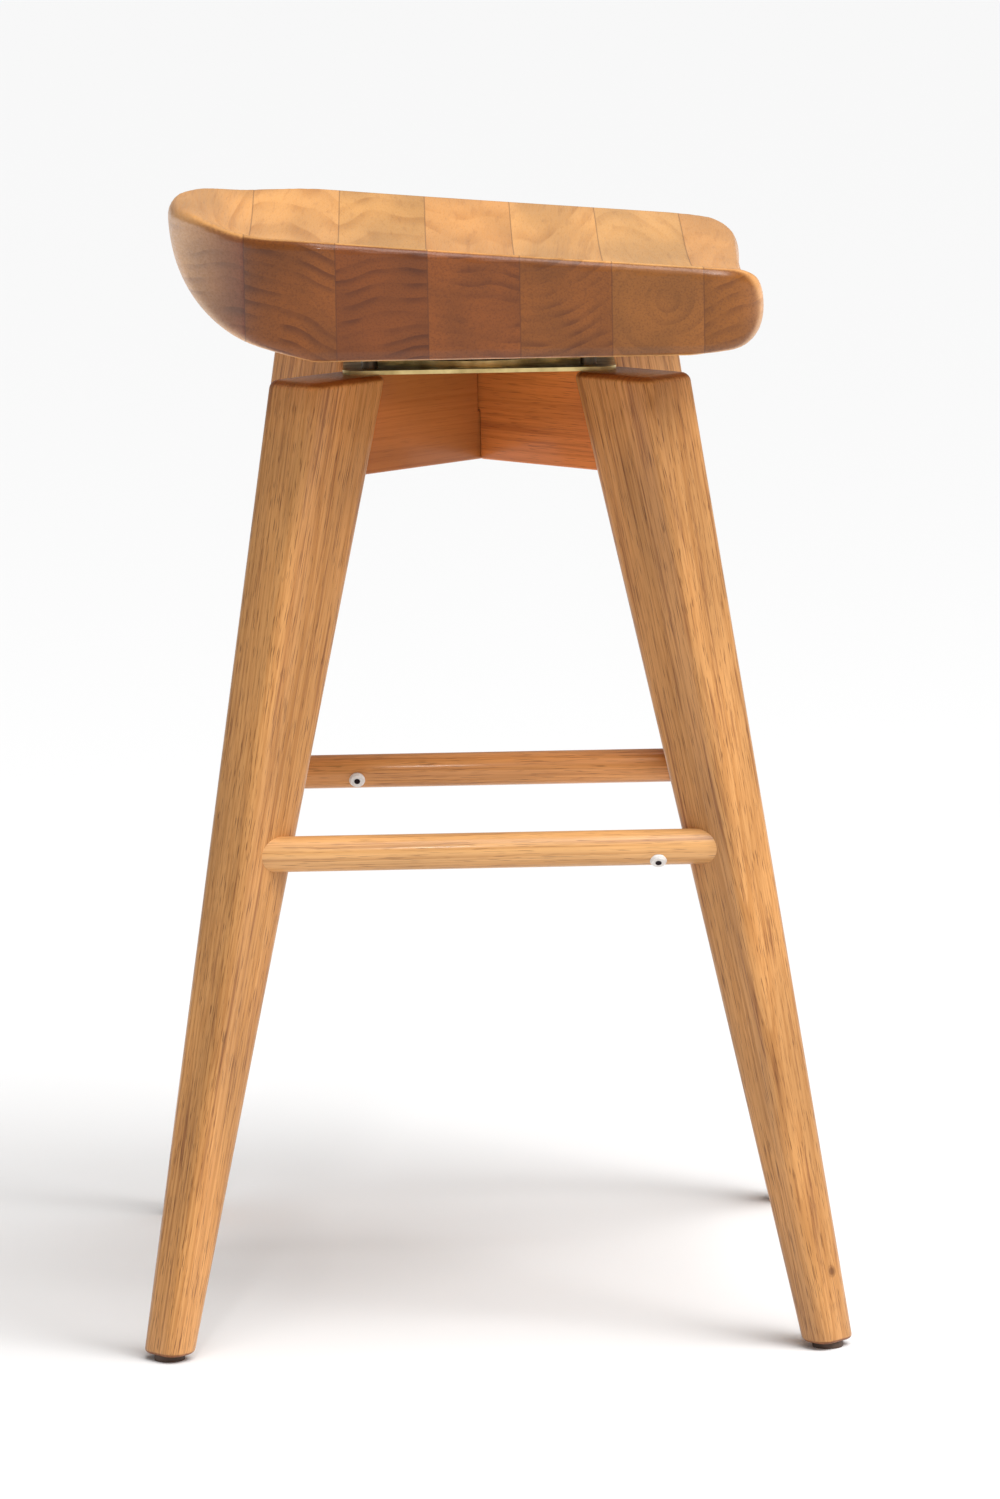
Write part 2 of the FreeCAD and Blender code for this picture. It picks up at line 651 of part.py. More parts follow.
doc.recompute()
for thing in doc.Objects:
    if "Invalid" in thing.State or "Error" in thing.State:
        raise RuntimeError("%s (%s) did not compute" % (thing.Name, thing.Label))
os.makedirs("parts", exist_ok=True)
for node in NODES:
    piece = doc.getObjectsByLabel(node)[0]
    if piece.Shape.isNull() or not piece.Shape.isValid():
        raise RuntimeError("%s has no sound shape" % node)
    piece.Shape.exportStep("parts/%s.step" % node)
    print(node, len(piece.Shape.Solids), round(piece.Shape.Volume / 1000, 2), "cm3")
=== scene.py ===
import math

import bmesh
import bpy
import numpy as np
from mathutils import Matrix, Vector


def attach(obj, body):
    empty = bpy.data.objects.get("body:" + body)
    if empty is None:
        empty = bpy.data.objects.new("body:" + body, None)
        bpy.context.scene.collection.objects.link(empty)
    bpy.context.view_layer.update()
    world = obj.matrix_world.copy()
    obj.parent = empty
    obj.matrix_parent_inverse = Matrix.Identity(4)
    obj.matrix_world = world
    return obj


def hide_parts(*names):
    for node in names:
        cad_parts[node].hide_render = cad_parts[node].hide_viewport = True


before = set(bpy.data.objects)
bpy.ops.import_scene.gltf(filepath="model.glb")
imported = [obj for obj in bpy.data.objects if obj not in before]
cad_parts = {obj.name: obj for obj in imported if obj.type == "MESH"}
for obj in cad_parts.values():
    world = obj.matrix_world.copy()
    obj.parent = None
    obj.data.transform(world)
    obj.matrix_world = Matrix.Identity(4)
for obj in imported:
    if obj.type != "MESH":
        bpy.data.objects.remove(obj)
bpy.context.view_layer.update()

mm = 0.001


# Colours are written as sRGB hex and used as linear values.
def linear(hexColour):
    parts = [int(hexColour[i:i + 2], 16) / 255 for i in (1, 3, 5)]
    return [c / 12.92 if c <= 0.04045 else ((c + 0.055) / 1.055) ** 2.4 for c in parts] + [1.0]


# Adds a node, sets its properties and inputs, and links what is given as a node or a socket.
def addNode(tree, kind, inputs=None, **settings):
    node = tree.nodes.new(kind)
    for key, value in settings.items():
        setattr(node, key, value)
    for key, value in (inputs or {}).items():
        if isinstance(value, bpy.types.Node):
            value = next(socket for socket in value.outputs if socket.enabled)
        if isinstance(value, bpy.types.NodeSocket):
            tree.links.new(value, node.inputs[key])
        else:
            node.inputs[key].default_value = value
    return node


def newMaterial(name):
    material = bpy.data.materials.new(name)
    material.use_nodes = True
    material.node_tree.nodes.clear()
    return material


def finishMaterial(material, surface):
    tree = material.node_tree
    addNode(tree, "ShaderNodeOutputMaterial", {"Surface": surface})
    return material


# Solid rubberwood, sanded and sprayed with clear satin lacquer. Long grain is a warm straw
# brown with fine dark pore lines, and end grain drinks the lacquer and goes a deep red brown. On the
# seat's sides that red brown is darkened further as painted shade.
wood = {
    "early": "#EBB275", "late": "#C68A4C", "streak": "#8F5530", "pore": "#5E3117",
    "endLight": "#A0662E", "endDark": "#5C2F12", "glue": "#4E2812",
    "ring": 6.5,           # mm between growth rings
    "ringWander": 2.6,     # mm that a ring strays from round
    "ringDrift": 2.0,      # rings gained or lost across a board
    "lateRise": (0.3, 0.9),     # the part of a ring over which it darkens
    "lateFall": (0.92, 1.0),    # and over which it ends
    "knotPush": 6.0,       # mm that a knot pushes the rings aside
    "knotReach": (0.3, 1.6),    # of its size, where a knot is full, and gone
    # mm across and along the grain: what bends, spaces and fades the rings, and then bundles of fibres,
    # mineral streaks, vessels (drawn wide enough to show) and lighter or darker patches
    "wanderSize": (70, 260), "driftSize": (40, 500), "fadeSize": (22, 200),
    "fibreSize": (1.3, 120), "streakSize": (3.5, 190), "poreSize": (0.6, 16), "cloudSize": (35, 130),
    "cloudShade": (0.85, 1.12),
    # its start is set late so that the seat's rounded rim stays pale long grain, partly a painted highlight
    # along the rim
    "endFacing": (0.2, 0.62),   # how squarely the grain is cut before it starts to look like end grain
    "glueLine": (0.1, 0.6),     # mm from the joint where its line is full, and gone
    "roughness": (0.33, 0.47), "ior": 1.5, "specular": 0.35, "coat": 0.25, "coatRoughness": 0.14,
    "bump": 0.3, "bumpDepth": 0.12,
    "seedStep": (7.31, 3.17, 5.53),   # moves the patterns of one seed away from the next
}


smoothly = {"interpolation_type": "SMOOTHSTEP"}
inColour = {"data_type": "RGBA"}
tinted = {"data_type": "RGBA", "blend_type": "MULTIPLY"}


# A frame whose z axis is the grain. Rotation for the Mapping node, from the direction.
def grainTurn(direction):
    return Vector(direction).to_track_quat("Z", "Y").to_euler()


def woodMaterial(name, direction, pith, seed=0.0, tone="#FFFFFF", endTone="#E6D6C4", joints=(), knots=(),
                 ring=None, figure=0.6, lines=0.45):
    material = newMaterial(name)
    tree = material.node_tree

    # noise drawn out along the grain
    def grainNoise(vector, size, detail=1.0, roughness=0.5):
        across, along = size
        drawn = addNode(tree, "ShaderNodeVectorMath", {0: vector, 1: (1 / across, 1 / across, 1 / along),
                                                        2: [seed * v for v in wood["seedStep"]]},
                        operation="MULTIPLY_ADD")
        return addNode(tree, "ShaderNodeTexNoise", {"Vector": drawn, "Scale": 1.0, "Detail": detail,
                                                     "Roughness": roughness})

    place = addNode(tree, "ShaderNodeTexCoord")
    here = place.outputs["Object"]
    grain = addNode(tree, "ShaderNodeMapping", {"Vector": here, "Location": [v * mm for v in pith],
                                                 "Rotation": grainTurn(direction), "Scale": (mm, mm, mm)},
                    vector_type="TEXTURE")

    # a knot pushes the rings aside and darkens its own middle
    knotShade = None
    full, gone = wood["knotReach"]
    for at, size in knots:
        away = addNode(tree, "ShaderNodeVectorMath", {0: here, 1: [v * mm for v in at]}, operation="DISTANCE")
        core = addNode(tree, "ShaderNodeMapRange", {0: away, 1: size * full * mm, 2: size * gone * mm,
                                                     3: 1.0, 4: 0.0}, **smoothly)
        if knotShade is None:
            knotShade = core
        else:
            knotShade = addNode(tree, "ShaderNodeMath", {0: knotShade, 1: core}, operation="MAXIMUM")

    # growth rings: cylinders about the pith, strayed a little, some strong and some faint
    stray = wood["ringWander"] * 2
    wander = grainNoise(grain, wood["wanderSize"], 3.0, 0.45).outputs["Color"]
    wander = addNode(tree, "ShaderNodeVectorMath", {0: wander, 1: (0.5, 0.5, 0.5)}, operation="SUBTRACT")
    strayed = addNode(tree, "ShaderNodeVectorMath", {0: wander, 1: (stray, stray, 0), 2: grain},
                      operation="MULTIPLY_ADD")
    radius = addNode(tree, "ShaderNodeVectorMath", {0: strayed, 1: (1, 1, 0)}, operation="MULTIPLY")
    radius = addNode(tree, "ShaderNodeVectorMath", {0: radius}, operation="LENGTH")
    if knotShade is not None:
        radius = addNode(tree, "ShaderNodeMath", {0: knotShade, 1: wood["knotPush"], 2: radius},
                         operation="MULTIPLY_ADD")
    turns = addNode(tree, "ShaderNodeMath", {0: radius, 1: ring or wood["ring"]}, operation="DIVIDE")
    drift = grainNoise(grain, wood["driftSize"])
    turns = addNode(tree, "ShaderNodeMath", {0: drift, 1: wood["ringDrift"], 2: turns},
                    operation="MULTIPLY_ADD")
    phase = addNode(tree, "ShaderNodeMath", {0: turns}, operation="FRACT")
    first, full = wood["lateRise"]
    rise = addNode(tree, "ShaderNodeMapRange", {0: phase, 1: first, 2: full}, **smoothly)
    full, gone = wood["lateFall"]
    fall = addNode(tree, "ShaderNodeMapRange", {0: phase, 1: full, 2: gone, 3: 1.0, 4: 0.0}, **smoothly)
    late = addNode(tree, "ShaderNodeMath", {0: rise, 1: fall}, operation="MULTIPLY")
    fade = grainNoise(grain, wood["fadeSize"])
    fade = addNode(tree, "ShaderNodeMapRange", {0: fade, 1: 0.38, 2: 0.68, 3: 0.12}, **smoothly)
    late = addNode(tree, "ShaderNodeMath", {0: late, 1: fade}, operation="MULTIPLY")

    # bundles of fibres, long mineral streaks, vessel lines and broad clouds
    fibre = grainNoise(strayed, wood["fibreSize"], 2.0, 0.6)
    streak = grainNoise(strayed, wood["streakSize"], 2.0, 0.55)
    streak = addNode(tree, "ShaderNodeMapRange", {0: streak, 1: 0.54, 2: 0.72}, **smoothly)
    pore = grainNoise(grain, wood["poreSize"])
    pore = addNode(tree, "ShaderNodeMapRange", {0: pore, 1: 0.58, 2: 0.7}, **smoothly)
    cloud = grainNoise(grain, wood["cloudSize"], 1.5)
    dark, light = wood["cloudShade"]
    cloud = addNode(tree, "ShaderNodeMapRange", {0: cloud, 1: 0.3, 2: 0.7, 3: dark, 4: light}, **smoothly)

    # how squarely the surface cuts the grain
    facing = addNode(tree, "ShaderNodeVectorMath", {0: place.outputs["Normal"],
                                                     1: Vector(direction).normalized()},
                     operation="DOT_PRODUCT")
    facing = addNode(tree, "ShaderNodeMath", {0: facing}, operation="ABSOLUTE")
    # the late start keeps the seat's rounded rim pale, partly a painted highlight
    first, full = wood["endFacing"]
    end = addNode(tree, "ShaderNodeMapRange", {0: facing, 1: first, 2: full}, **smoothly)

    # long grain: each layer has where it lies, how strongly, and its colour
    bundles = addNode(tree, "ShaderNodeMapRange", {0: fibre, 1: 0.42, 2: 0.66}, **smoothly)
    long = linear(wood["early"])
    for where, amount, colour in ((late, figure, "late"), (bundles, lines, "late"), (streak, lines, "streak"),
                                  (pore, lines, "pore")):
        share = addNode(tree, "ShaderNodeMath", {0: where, 1: amount}, operation="MULTIPLY")
        long = addNode(tree, "ShaderNodeMix", {0: share, 6: long, 7: linear(wood[colour])}, **inColour)
    long = addNode(tree, "ShaderNodeMix", {0: 1.0, 6: long, 7: linear(tone)}, **tinted)

    # end grain, in the same way
    bundles = addNode(tree, "ShaderNodeMapRange", {0: fibre, 1: 0.45, 2: 0.7}, **smoothly)
    cut = linear(wood["endLight"])
    for where, amount, colour in ((late, figure * 0.85, "endDark"), (bundles, 0.3, "endDark"),
                                  (pore, 0.3, "pore")):
        share = addNode(tree, "ShaderNodeMath", {0: where, 1: amount}, operation="MULTIPLY")
        cut = addNode(tree, "ShaderNodeMix", {0: share, 6: cut, 7: linear(wood[colour])}, **inColour)
    # the end tone tints the end grain; on the seat's staves it is also painted shade on the seat's sides
    cut = addNode(tree, "ShaderNodeMix", {0: 1.0, 6: cut, 7: linear(endTone)}, **tinted)

    colour = addNode(tree, "ShaderNodeMix", {0: end, 6: long, 7: cut}, **inColour)
    colour = addNode(tree, "ShaderNodeVectorMath", {0: colour, "Scale": cloud}, operation="SCALE")
    if knotShade is not None:
        share = addNode(tree, "ShaderNodeMath", {0: knotShade, 1: 0.75}, operation="MULTIPLY")
        colour = addNode(tree, "ShaderNodeMix", {0: share, 6: colour, 7: linear(wood["pore"])}, **inColour)
    full, gone = wood["glueLine"]
    for x in joints:
        gap = addNode(tree, "ShaderNodeSeparateXYZ", {0: here}).outputs["X"]
        gap = addNode(tree, "ShaderNodeMath", {0: gap, 1: x * mm}, operation="SUBTRACT")
        gap = addNode(tree, "ShaderNodeMath", {0: gap}, operation="ABSOLUTE")
        line = addNode(tree, "ShaderNodeMapRange", {0: gap, 1: full * mm, 2: gone * mm, 3: 0.5, 4: 0.0},
                       **smoothly)
        colour = addNode(tree, "ShaderNodeMix", {0: line, 6: colour, 7: linear(wood["glue"])}, **inColour)

    # fibres stand proud by a hair and vessels are open grooves
    relief = addNode(tree, "ShaderNodeMath", {0: pore, 1: -0.8}, operation="MULTIPLY")
    relief = addNode(tree, "ShaderNodeMath", {0: fibre, 1: 0.5, 2: relief}, operation="MULTIPLY_ADD")
    bump = addNode(tree, "ShaderNodeBump", {"Height": relief, "Strength": wood["bump"],
                                             "Distance": wood["bumpDepth"] * mm})
    smoothest, roughest = wood["roughness"]
    rough = addNode(tree, "ShaderNodeMapRange", {0: fibre, 1: 0.3, 2: 0.75, 3: smoothest, 4: roughest},
                    **smoothly)
    shader = addNode(tree, "ShaderNodeBsdfPrincipled", {
        "Base Color": colour, "Roughness": rough, "IOR": wood["ior"], "Specular IOR Level": wood["specular"],
        "Coat Weight": wood["coat"], "Coat Roughness": wood["coatRoughness"], "Normal": bump})
    return finishMaterial(material, shader)


def newPiece(name, mesh, body, node, material):
    mesh.name = name
    piece = bpy.data.objects.new(name, mesh)
    bpy.context.collection.objects.link(piece)
    mesh.materials.clear()
    mesh.materials.append(material)
    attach(piece, body)
    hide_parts(node)
    return piece


def smooth(mesh, degrees=35):
    mesh.shade_smooth()
    mesh.set_sharp_from_angle(angle=math.radians(degrees))


# A closed tube through rings of equal count, with a flat face on each end.
def loft(rings):
    count = len(rings[0])
    points = [tuple(p) for ring in rings for p in ring]
    faces = []
    for i in range(len(rings) - 1):
        for j in range(count):
            k = (j + 1) % count
            faces.append((i * count + j, i * count + k, (i + 1) * count + k, (i + 1) * count + j))
    faces.append(tuple(reversed(range(count))))
    faces.append(tuple(range((len(rings) - 1) * count, len(rings) * count)))
    mesh = bpy.data.meshes.new("loft")
    mesh.from_pydata(points, [], faces)
    mesh.validate()
    smooth(mesh)
    return mesh


# A rectangle with round corners about (cx, cy), as a loop of points in its own plane.
def roundedLoop(cx, width, depth, radius, steps=8):
    loop = []
    for quarter, (sx, sy) in enumerate(((1, 1), (-1, 1), (-1, -1), (1, -1))):
        x = cx + sx * (width / 2 - radius)
        y = sy * (depth / 2 - radius)
        for i in range(steps + 1):
            a = (quarter + i / steps) * math.pi / 2
            loop.append((x + radius * math.cos(a), y + radius * math.sin(a)))
    return loop


leg = {
    "topZ": 594, "footZ": 4, "topReach": 133, "footReach": 287,
    "topDepth": 65, "footDepth": 24, "topWidth": 44, "footWidth": 31,
    "topEdge": 7.5, "footEdge": 9.5, "topRound": 5.0, "footRound": 3.0,
    "ring": 3.4, "lines": 0.6,
}
legAngles = {"leg_front_left": 45, "leg_back_left": 135, "leg_back_right": 225, "leg_front_right": 315}


def legAt(z):
    t = (leg["topZ"] - z) / (leg["topZ"] - leg["footZ"])
    return [leg["top" + part] + (leg["foot" + part] - leg["top" + part]) * t
            for part in ("Reach", "Depth", "Width", "Edge")]


def legMesh(angle):
    turns = [i / 5 * math.pi / 2 for i in range(6)]
    levels = [(leg["footZ"] + leg["footRound"] * (1 - math.cos(a)), leg["footRound"] * (1 - math.sin(a)))
              for a in turns]
    spans = 12
    low, high = leg["footZ"] + leg["footRound"], leg["topZ"] - leg["topRound"]
    levels += [(low + (high - low) * i / spans, 0) for i in range(1, spans)]
    levels += [(high + leg["topRound"] * math.sin(a), leg["topRound"] * (1 - math.cos(a))) for a in turns]
    c, s = math.cos(math.radians(angle)), math.sin(math.radians(angle))
    rings = []
    for z, inset in levels:
        reach, depth, width, edge = legAt(z)
        loop = roundedLoop(reach, depth - 2 * inset, width - 2 * inset, edge - inset)
        rings.append([((x * c - y * s) * mm, (x * s + y * c) * mm, z * mm) for x, y in loop])
    return loft(rings)


legLooks = {
    "leg_front_left": {"pith": (60, 40), "seed": 1.0, "tone": "#E9E2D8"},
    "leg_back_left": {"pith": (-50, 60), "seed": 2.0, "tone": "#E6DCCE"},
    "leg_back_right": {"pith": (35, -70), "seed": 3.0, "tone": "#E2D8C8"},
    # the front right leg's darker tone is painted shade, standing in for the shade on its inner face
    "leg_front_right": {"pith": (-75, 35), "seed": 4.0, "tone": "#DCD3C6",
                        "knots": [((123, -152, 465), 2.4), ((206, -203, 47), 3.0)]},
}
for name, angle in legAngles.items():
    look = legLooks[name]
    out = Vector((math.cos(math.radians(angle)), math.sin(math.radians(angle)), 0))
    side = Vector((-out.y, out.x, 0))
    foot = out * leg["footReach"] + Vector((0, 0, leg["footZ"]))
    top = out * leg["topReach"] + Vector((0, 0, leg["topZ"]))
    pith = foot + out * look["pith"][0] + side * look["pith"][1]
    material = woodMaterial("lacqueredRubberwood_" + name, top - foot, pith, look["seed"], look["tone"],
                            knots=look.get("knots", ()), ring=leg["ring"], lines=leg["lines"])
    newPiece(name + "_shape", legMesh(angle), "base", name, material)
print("legs")


board = {"height": 62, "thickness": 22, "edge": 1.6, "lapRoom": 0.1, "figure": 0.45}


def boardMesh(angle, lapUp):
    top = leg["topReach"] - leg["topDepth"] / 2
    low = leg["topZ"] - board["height"]
    reach, depth = legAt(low)[:2]
    bottom = reach - depth / 2
    half = board["thickness"] / 2 + board["lapRoom"]
    middle = leg["topZ"] - board["height"] / 2
    if lapUp:
        notch = middle - board["lapRoom"] / 2
        outline = [(-bottom, low), (bottom, low), (top, leg["topZ"]), (half, leg["topZ"]), (half, notch),
                   (-half, notch), (-half, leg["topZ"]), (-top, leg["topZ"])]
    else:
        notch = middle + board["lapRoom"] / 2
        outline = [(-bottom, low), (-half, low), (-half, notch), (half, notch), (half, low), (bottom, low),
                   (top, leg["topZ"]), (-top, leg["topZ"])]
    c, s = math.cos(math.radians(angle)), math.sin(math.radians(angle))
    build = bmesh.new()
    near = board["thickness"] / 2
    first = [build.verts.new(((x * c + near * s) * mm, (x * s - near * c) * mm, z * mm)) for x, z in outline]
    face = build.faces.new(first)
    grown = bmesh.ops.extrude_face_region(build, geom=[face])
    moved = [v for v in grown["geom"] if isinstance(v, bmesh.types.BMVert)]
    bmesh.ops.translate(build, verts=moved, vec=(-s * 2 * near * mm, c * 2 * near * mm, 0))
    bmesh.ops.recalc_face_normals(build, faces=build.faces)
    bmesh.ops.bevel(build, geom=list(build.edges), offset=board["edge"] * mm, segments=3, profile=0.5,
                    affect="EDGES", clamp_overlap=True)
    mesh = bpy.data.meshes.new("board")
    build.to_mesh(mesh)
    build.free()
    smooth(mesh)
    return mesh


# The boards' tones are partly painted shade: both are darkened for the shade they sit in under the seat.
boardLooks = {
    "cross_board_a": {"angle": 45, "lapUp": True, "pith": (0, -38, 505), "seed": 5.0, "tone": "#CEA888",
                      "lines": 0.18},
    "cross_board_b": {"angle": 135, "lapUp": False, "pith": (0, -90, 700), "seed": 6.0, "tone": "#E5B48A",
                      "lines": 0.4},
}
for name, look in boardLooks.items():
    a = math.radians(look["angle"])
    along = (math.cos(a), math.sin(a), 0)
    material = woodMaterial("lacqueredRubberwood_" + name, along, look["pith"], look["seed"], look["tone"],
                            figure=board["figure"], lines=look["lines"])
    newPiece(name + "_shape", boardMesh(look["angle"], look["lapUp"]), "base", name, material)
print("cross boards")


footrest = {"z": 306, "offset": 155.5, "diameter": 22, "reach": 143, "endRound": 1.5, "ring": 5.0}
footrestAngles = {"footrest_left": 0, "footrest_back": 90, "footrest_right": 180, "footrest_front": 270}


def dowelMesh(angle):
    count = 64
    radius, reach, soft = footrest["diameter"] / 2, footrest["reach"], footrest["endRound"]
    turns = [i / 4 * math.pi / 2 for i in range(5)]
    stations = [(-reach + soft * (1 - math.cos(a)), radius - soft * (1 - math.sin(a))) for a in turns]
    stations += [(-x, r) for x, r in reversed(stations)]
    c, s = math.cos(math.radians(angle)), math.sin(math.radians(angle))
    rings = []
    for x, r in stations:
        ring = []
        for i in range(count):
            a = -2 * math.pi * i / count
            y, z = footrest["offset"] + r * math.cos(a), footrest["z"] - r * math.sin(a)
            ring.append(((x * c - y * s) * mm, (x * s + y * c) * mm, z * mm))
        rings.append(ring)
    return loft(rings)


footrestLooks = {
    "footrest_left": {"pith": 30, "seed": 7.0, "tone": "#EEDCC8"},
    "footrest_back": {"pith": -24, "seed": 8.0, "tone": "#F5E3CC"},
    "footrest_right": {"pith": 45, "seed": 9.0, "tone": "#EEEEEA"},
    "footrest_front": {"pith": -36, "seed": 10.0, "tone": "#F7E6D0"},
}
for name, angle in footrestAngles.items():
    look = footrestLooks[name]
    a = math.radians(angle)
    along = Vector((math.cos(a), math.sin(a), 0))
    centre = Vector((-math.sin(a), math.cos(a), 0)) * footrest["offset"]
    pith = centre + Vector((0, 0, footrest["z"] + look["pith"]))
    material = woodMaterial("lacqueredRubberwood_" + name, along, pith, look["seed"], look["tone"],
                            ring=footrest["ring"])
    newPiece(name + "_shape", dowelMesh(angle), "base", name, material)
print("footrest")


seat = {
    "under": 611, "flat": 88, "noseX": 150, "noseZ": 641, "nose": 25, "lip": 10, "lipZ": 698,
    "heelX": -121, "heelZ": 695, "heel": 74,
    "halfWidth": 200, "front": 175, "back": -195, "backRadius": 320, "backCorner": 60, "frontCorner": 48,
    "hollow": 5, "hollowReach": 160, "hollowFrom": 60, "hollowTo": 160, "crownStart": 92, "crownSlope": 0.03,
    "dishLowX": 418.6, "dishLowZ": 645.4, "dishLength": 6000, "dishAxisZ": 1560,
    "dishHeel": 75, "dishHeelStart": -120, "sideRound": 6.0, "rimRound": 8.0,
    "joints": [-142.5, -87.0, -31.5, 24.0, 79.5, 135.0],
    "cell": 3.2,     # mm between points of its mesh
    "middleZ": 645, "ring": 8.0, "lines": 0.16, "drift": (0.05, 0.04), "seed": 20.0, "seedStep": 1.37,
}


# The common part of two solids, with a round edge of radius r where they meet.
def roundedCommon(a, b, r):
    u = np.maximum(r + a, 0)
    v = np.maximum(r + b, 0)
    return np.minimum(-r, np.maximum(a, b)) + np.sqrt(u * u + v * v)


# The outward normal of the line from x, z that touches a circle from below.
def tangentBelow(x, z, circleX, circleZ, radius, side):
    span = math.hypot(circleX - x, circleZ - z)
    angle = math.atan2(circleZ - z, circleX - x) - side * math.asin(radius / span)
    return side * math.sin(angle), -side * math.cos(angle)


# Distance to the seat seen from the side: flat below and raised to both ends, round nose, lip and heel.
def sideDistance(x, y, z):
    noseX, noseZ, nose = seat["noseX"], seat["noseZ"], seat["nose"]
    heelX, heelZ, heel = seat["heelX"], seat["heelZ"], seat["heel"]
    lipZ = seat["lipZ"] - seat["lip"]
    lipX = heelX - math.sqrt((heel - seat["lip"]) ** 2 - (heelZ - lipZ) ** 2)
    span = math.hypot(noseX - lipX, noseZ - lipZ)
    tilt = math.atan2(noseZ - lipZ, noseX - lipX) + math.acos((seat["lip"] - nose) / span)
    rimX, rimZ = math.cos(tilt), math.sin(tilt)
    rim = (x - noseX) * rimX + (z - noseZ) * rimZ - nose
    under, flat = seat["under"], seat["flat"]
    riseX, riseZ = tangentBelow(flat, under, noseX, noseZ, nose, 1)
    fallX, fallZ = tangentBelow(-flat, under, heelX, heelZ, heel, -1)
    crown = np.maximum(np.abs(y) - seat["crownStart"], 0) * seat["crownSlope"]
    below = np.maximum.reduce([under + crown - z, (x - flat) * riseX + (z - under) * riseZ,
                               (x + flat) * fallX + (z - under) * fallZ])
    u, v = x - heelX, z - heelZ
    pastHeel = (u < 0) & (u * fallZ - v * fallX > 0)
    back = np.where(pastHeel | ((u < 0) & (v > 0)), np.hypot(u, v) - heel, -heel)
    distance = np.maximum(below, roundedCommon(back, rim, seat["lip"]))
    u, v = x - noseX, z - noseZ
    pastNose = (u > 0) & (u * riseZ - v * riseX < 0) & (u * rimZ - v * rimX > 0)
    return np.where(pastNose, np.hypot(u, v) - nose, distance)


# How far the front edge is hollowed at y.
def hollow(y):
    return seat["hollow"] * (1 - np.clip(np.abs(y) / seat["hollowReach"], 0, 1) ** 2)


# Distance to the seat seen from above: a round back, straight sides and a slightly hollow front.
def planDistance(x, y):
    y = np.abs(y)
    side, corner = seat["halfWidth"], seat["frontCorner"]
    distance = np.maximum(x - seat["front"] + hollow(y), y - side)
    u, v = x - (seat["front"] - corner), y - (side - corner)
    distance = np.where((u > 0) & (v > 0), np.hypot(u, v) - corner, distance)
    radius, corner = seat["backRadius"], seat["backCorner"]
    backX = seat["back"] + radius
    turnX = backX - math.sqrt((radius - corner) ** 2 - (side - corner) ** 2)
    turned = (x - backX) * (side - corner) - y * (turnX - backX) > 0
    back = np.where(turned, np.hypot(x - turnX, y - side + corner) - corner, np.hypot(x - backX, y) - radius)
    return np.where(x < turnX, back, distance)


# Distance into the carved dish: a long sweep and a tighter heel, turned about a high axis.
def dishDistance(x, y, z):
    level = seat["dishAxisZ"] - np.hypot(seat["dishAxisZ"] - z, y)
    sweepX, sweep = seat["dishLowX"], seat["dishLength"]
    sweepZ = seat["dishLowZ"] + sweep
    share = 1 - seat["dishHeel"] / sweep
    startX = seat["dishHeelStart"]
    startZ = sweepZ - math.sqrt(sweep ** 2 - (startX - sweepX) ** 2)
    heelX, heelZ = sweepX + (startX - sweepX) * share, sweepZ + (startZ - sweepZ) * share
    distance = sweep - np.hypot(x - sweepX, level - sweepZ)
    beyond = (x - heelX) * (startZ - heelZ) - (level - heelZ) * (startX - heelX) > 0
    return np.where(beyond, seat["dishHeel"] - np.hypot(x - heelX, level - heelZ), distance)


def seatDistance(p):
    x, y, z = p[..., 0], p[..., 1], p[..., 2]
    share = (x - seat["hollowFrom"]) / (seat["hollowTo"] - seat["hollowFrom"])
    shifted = x + hollow(y) * np.clip(share, 0, 1)
    block = roundedCommon(sideDistance(shifted, y, z), planDistance(x, y), seat["sideRound"])
    return roundedCommon(block, dishDistance(x, y, z), seat["rimRound"])


def seatSlope(p):
    step = 0.05
    slopes = []
    for axis in range(3):
        shift = np.zeros(3)
        shift[axis] = step
        slopes.append((seatDistance(p + shift) - seatDistance(p - shift)) / (2 * step))
    slope = np.stack(slopes, axis=-1)
    return slope / np.maximum(np.linalg.norm(slope, axis=-1, keepdims=True), 1e-6)


# The zero surface of seatDistance as quads: one point in each cell that it crosses, moved onto it.
def seatSurface():
    cell = seat["cell"]
    low = np.array([seat["back"], -seat["halfWidth"], seat["under"]], float) - 2 * cell
    high = np.array([seat["front"], seat["halfWidth"], seat["lipZ"]], float) + 2 * cell
    counts = np.ceil((high - low) / cell).astype(int) + 1
    low = (low + high - (counts - 1) * cell) / 2
    axes = [low[i] + cell * np.arange(counts[i]) for i in range(3)]
    grid = np.stack(np.meshgrid(*axes, indexing="ij"), axis=-1)
    inside = seatDistance(grid) < 0
    held = [inside[i:inside.shape[0] - 1 + i, j:inside.shape[1] - 1 + j, k:inside.shape[2] - 1 + k]
            for i in (0, 1) for j in (0, 1) for k in (0, 1)]
    filled = np.sum(held, axis=0)
    crossed = (filled > 0) & (filled < 8)
    number = -np.ones(crossed.shape, int)
    number[crossed] = np.arange(crossed.sum())
    points = low + (np.argwhere(crossed) + 0.5) * cell
    for _ in range(12):
        points = points - seatSlope(points) * seatDistance(points)[:, None]
    faces = []
    for axis in range(3):
        a, b = [i for i in range(3) if i != axis]
        first = np.take(inside, range(inside.shape[axis] - 1), axis)
        second = np.take(inside, range(1, inside.shape[axis]), axis)
        for sign, where in ((1, first & ~second), (-1, ~first & second)):
            cells = np.argwhere(where)
            quad = []
            for da, db in ((0, 0), (1, 0), (1, 1), (0, 1)):
                around = cells.copy()
                around[:, a] -= da
                around[:, b] -= db
                quad.append(number[tuple(around.T)])
            quad = np.stack(quad, axis=-1)
            if (sign > 0) == (axis == 1):
                quad = quad[:, ::-1]
            faces.append(quad)
    return points, np.concatenate(faces)


